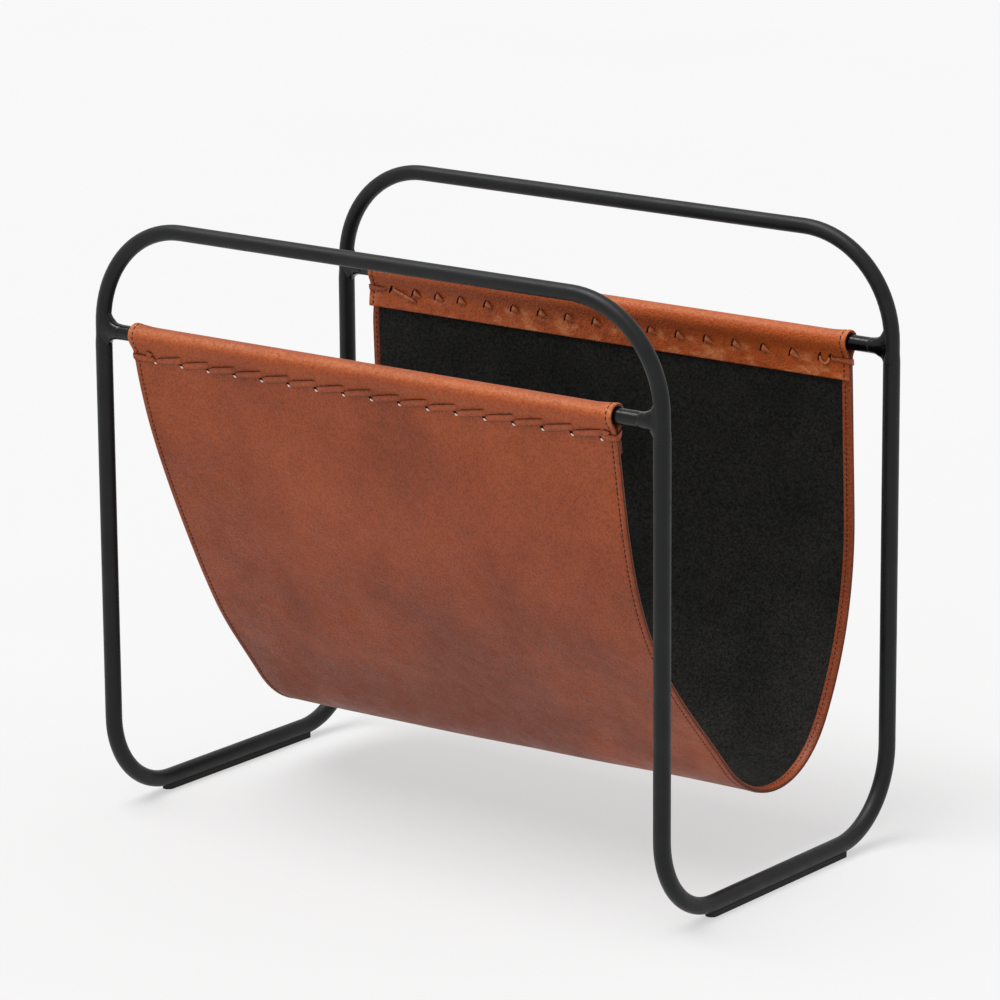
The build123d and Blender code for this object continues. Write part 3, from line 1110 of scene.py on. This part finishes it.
class Face:
    """One face that a seam's lace runs along: its holes, where it is, and which way is down."""

    def __init__(self, hole_x, seam, down):
        self.hole_x = hole_x
        self.seam = seam
        self.down = down

    def run(self, below):
        """The distance along the leather of a place this far below the lace line."""
        return self.seam + self.down * (LACE_BELOW_SEAM + below)


# The shades of a thong's sides, shoulders and middle: outside, and where it is rubbed inside. Dark cut
# edges with painted shadow lines along the sides and shoulders, and a painted highlight on the middle
THONG_SHADES = (-0.85, -0.28, 0.26)
RUBBED_AND_LIT_SHADES = (-0.7, 0.30, 0.80)
THIN_THONG = 0.42  # half the thickness of a thong's loose ends
LOBE = 0.45  # and of the lobes inside

# A strip's stops, as shares of the way between its holes
STRIP_STOPS = (0.0, 0.03, 0.08, 0.16, 0.30, 0.50, 0.70, 0.86, 0.94, 0.98, 1.0)
STRIP_SUNK = 0.55  # its ends go this far into their holes
STRIP_BELLY = 0.22  # and its middle stands this much higher
STRIP_NECK = 0.45  # its start is this share of its full width
STRIP_START = (0.2, 1.7)  # from a hole to a strip's start: along, and below the lace line
STRIP_END = (1.2, -1.9)

# A thong's other parts: (x, distance below the lace line, lift), and the widths there
LOBE_WIDTHS = (3.6, 4.4, 3.8, 2.6, 1.0)
KNOT = ((0.0, 0.8, -0.4), (1.0, 0.5, 0.7), (2.75, 0.0, 0.8), (4.25, -0.3, 0.7), (5.0, -0.4, 0.3))
KNOT_WIDTHS = (1.6, 3.2, 3.8, 2.4, 0.8)
LOOP = (
    (0.1, -0.2, -0.2), (1.0, 2.0, 0.6), (2.6, 3.6, 0.7),
    (4.2, 3.8, 0.7), (6.0, 2.4, 0.6), (6.6, 0.2, -0.2),
)
LOOP_WIDTHS = (1.4, 2.0, 2.2, 2.2, 2.0, 1.4)
TAIL = ((0.0, -0.6, -0.3), (1.5, 0.0, 0.7), (8.0, 2.4, 0.75), (15.0, 4.8, 0.7), (18.0, 5.6, 0.35))
TAIL_WIDTHS = (1.4, 2.2, 2.6, 2.6, 1.0)

# Where a thong turns round a side edge
WRAP_PROUD = 0.42  # its centre's distance past the edge at the turn
WRAP_SHOULDER = 0.12  # and just before and after it
WRAP_BELOW = 0.6  # how far below the lace line it crosses the edge
WRAP_LIFT = THONG_LIFT + 0.15
WRAP_SUNK = -0.4  # the lift of its ends, in their holes
WRAP_WIDTHS = (0.5, 0.9, 1, 1, 0.9, 0.85, 0.85, 0.85, 0.75, 0.6, 0.25)
WRAP_REACH_IN = 13.0  # how far in from the left edge it ends, on the inside


def add_thong(shape, face, stops, widths, half_height, shades=THONG_SHADES, slot=0, boxy=RIBBON_BOXY):
    """A ribbon through (x, distance below the lace line, lift), its widths in millimetres."""
    centres = [on_sling(x, face.run(below), lift) for x, below, lift in stops]
    ups = [off_sling(face.run(below)) for _, below, _ in stops]
    half_widths = [width / 2 * MM for width in widths]
    add_ribbon(shape, centres, ups, half_widths, half_height * MM, shades, slot, boxy)


def add_strip(shape, face, x0, below0, x1, below1):
    """A thong lying on a face from one hole to the next, its start drawn narrow."""
    stops, widths = [], []
    for share in STRIP_STOPS:
        arch = min(1.0, share * 9, (1 - share) * 20)
        belly = STRIP_BELLY * math.sin(math.pi * share)
        lift = -STRIP_SUNK + (STRIP_SUNK + THONG_LIFT) * arch + belly
        stops.append((x0 + (x1 - x0) * share, below0 + (below1 - below0) * share, lift))
        widths.append(THONG_WIDTH * (STRIP_NECK + (1 - STRIP_NECK) * min(1.0, share * 6)))
    add_thong(shape, face, stops, widths, THONG_THICKNESS / 2)


def add_inner_stitch(shape, face, x):
    """The short lobe of thong that shows on the inside beside its slit."""
    wobble = 0.8 * noise.noise(Vector((x * 0.37, 4.0, 0.5)))
    stops = (
        (x + 0.2, -0.6, 0.0),
        (x + 0.9, -0.2, 0.85),
        (x + 2.3, 0.6 + wobble, 0.80),
        (x + 4.0, 1.7 + wobble, 0.40),
        (x + 5.6, 2.6 + wobble, -0.4),
    )
    add_thong(shape, face, stops, LOBE_WIDTHS, LOBE, RUBBED_AND_LIT_SHADES)


def add_end(shape, face, x, below, stops, widths, shades):
    """A thin end of thong on a face, its stops measured from this place."""
    placed = [(x + along, below + lower, lift) for along, lower, lift in stops]
    add_thong(shape, face, placed, widths, THIN_THONG, shades)


def half_wrap(face, edge_x, sign, reach, end_drop):
    """Half of a turn round a side edge, from its end on a face: (centre, up) pairs."""
    run = face.run(WRAP_BELOW)
    up = off_sling(run)
    half = [(on_sling(edge_x - sign * reach, run + face.down * end_drop, WRAP_SUNK), up)]
    for inset in (reach - 1.6, reach / 2, 1.2):
        half.append((on_sling(edge_x - sign * inset, run, WRAP_LIFT), up))
    shoulder = on_sling(edge_x + sign * WRAP_SHOULDER, run, 0.0)
    half.append((shoulder, (up + Vector((sign, 0, 0))).normalized()))
    return half


def add_edge_wrap(shape, outside, inside, edge_x, sign, reach_out, reach_in):
    """The thong where it turns round the sling's side edge."""
    turn_x = edge_x + sign * WRAP_PROUD
    turn = [on_sling(turn_x, face.run(WRAP_BELOW), 0) for face in (outside, inside)]
    line = half_wrap(outside, edge_x, sign, reach_out, 1.2)
    line.append(((turn[0] + turn[1]) / 2, Vector((sign, 0, 0))))
    line += reversed(half_wrap(inside, edge_x, sign, reach_in, -1.6))
    centres, ups = zip(*line)
    half_widths = [THONG_WIDTH / 2 * MM * share for share in WRAP_WIDTHS]
    add_ribbon(shape, centres, ups, half_widths, THONG_THICKNESS / 2 * MM, THONG_SHADES)


def make_lace(name, outside, inside):
    """One seam's whole thong: strips outside, lobes inside, a turn round each side edge."""
    shape = Shape()
    last = HOLES - 1
    for k in range(last):
        wobble = 0.5 * noise.noise(Vector((k * 1.7, outside.seam, 0.5)))
        start, end = outside.hole_x(k) + STRIP_START[0], outside.hole_x(k + 1) + STRIP_END[0]
        add_strip(shape, outside, start, STRIP_START[1] + wobble, end, STRIP_END[1] + wobble)
    for k in range(1, last):
        add_inner_stitch(shape, inside, inside.hole_x(k) + 0.6)
    add_edge_wrap(shape, outside, inside, SLING_LEFT, -1, FIRST_HOLE + 0.5, WRAP_REACH_IN)
    second_slit = inside.hole_x(last) + SECOND_SLIT
    reach_out = SLING_RIGHT - outside.hole_x(last) + 0.5
    reach_in = SLING_RIGHT - second_slit - 0.6
    add_edge_wrap(shape, outside, inside, SLING_RIGHT, 1, reach_out, reach_in)
    add_end(shape, inside, second_slit - SECOND_SLIT, 0, LOOP, LOOP_WIDTHS, RUBBED_AND_LIT_SHADES)
    add_end(shape, outside, outside.hole_x(0) - 6.0, -2.6, KNOT, KNOT_WIDTHS, THONG_SHADES)
    add_end(shape, outside, outside.hole_x(last) + 1.0, -2.4, KNOT, KNOT_WIDTHS, THONG_SHADES)
    add_end(shape, inside, inside.hole_x(0) + 2.0, 0, TAIL, TAIL_WIDTHS, RUBBED_AND_LIT_SHADES)
    return shape.build(name, lace_leather)


# A pit or slit is a dark spindle of painted shade on the face, and the pale rim a painted highlight on
# raw fibre
# The marks of a hole, each (the ends' distances below the lace line, length, width, lift)
PIT = ((-0.3, 2.6), 2.6, 2.0, 0.14)
PALE_RIM = ((1.9, 3.1), 1.9, 1.25, 0.34)
SLIT = ((2.8, -2.6), 2.4, 2.0, 0.12)
LAST_SLIT = ((2.6, -2.6), 2.4, 2.0, 0.12)
PIT_DEPTH = 0.18
RIM_DEPTH = 0.26
RIM_SLOT = 1


def add_mark(shape, face, x, mark, depth=PIT_DEPTH, slot=0):
    """A small spindle on a face: a dark pit or slit of painted shade, or a pale rim with a painted
    highlight.
    """
    tilt, length, width, lift = mark
    stops = (
        (x - length / 2, tilt[0], -0.1),
        (x, (tilt[0] + tilt[1]) / 2, lift),
        (x + length / 2, tilt[1], -0.1),
    )
    add_thong(shape, face, stops, (width * 0.35, width, width * 0.35), depth, (0, 0, 0), slot, 1.0)


def make_holes(name, outside, inside):
    """What shows of the punched holes: a dark pit of painted shade with a pale lower rim that has a
    painted highlight, and a slit of painted shade inside.
    """
    shape = Shape()
    for k in range(HOLES):
        x = outside.hole_x(k) - 0.2
        add_mark(shape, outside, x - 0.6, PIT)
        add_mark(shape, outside, x + 0.1, PALE_RIM, RIM_DEPTH, RIM_SLOT)
    for k in range(HOLES):
        add_mark(shape, inside, inside.hole_x(k) - 0.1, SLIT)
    add_mark(shape, inside, inside.hole_x(HOLES - 1) + SECOND_SLIT - 0.3, LAST_SLIT)
    return shape.build(name, hole_shade, raw_edge_and_highlight)


front_outside, front_inside = Face(front_hole, FRONT_SEAM, 1), Face(front_hole, FRONT_FLAP_SEAM, -1)
back_outside, back_inside = Face(back_hole, BACK_SEAM, -1), Face(back_hole, BACK_FLAP_SEAM, 1)
front_thong = make_lace("front_thong", front_outside, front_inside)
back_thong = make_lace("back_thong", back_outside, back_inside)
front_holes = make_holes("front_lace_holes", front_outside, front_inside)
back_holes = make_holes("back_lace_holes", back_outside, back_inside)

# ---- what each sling piece stands for, its finish and what it moves with ----
for piece, slot, nodes in (
    (leather_panel, "sling_leather", ["sling_leather"]),
    (lining, "lining_felt", ["sling_lining"]),
    (left_binding, "binding_leather", ["left_edge_binding"]),
    (right_binding, "binding_leather", ["right_edge_binding"]),
    (left_stitches, "stitch_thread", ["left_edge_thread"]),
    (right_stitches, "stitch_thread", ["right_edge_thread"]),
    (front_thong, "lace_leather", ["front_lace"]),
    (back_thong, "lace_leather", ["back_lace"]),
    (front_holes, "sling_leather", []),
    (back_holes, "sling_leather", []),
):
    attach(piece, "sling")
    if nodes:
        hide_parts(*nodes)
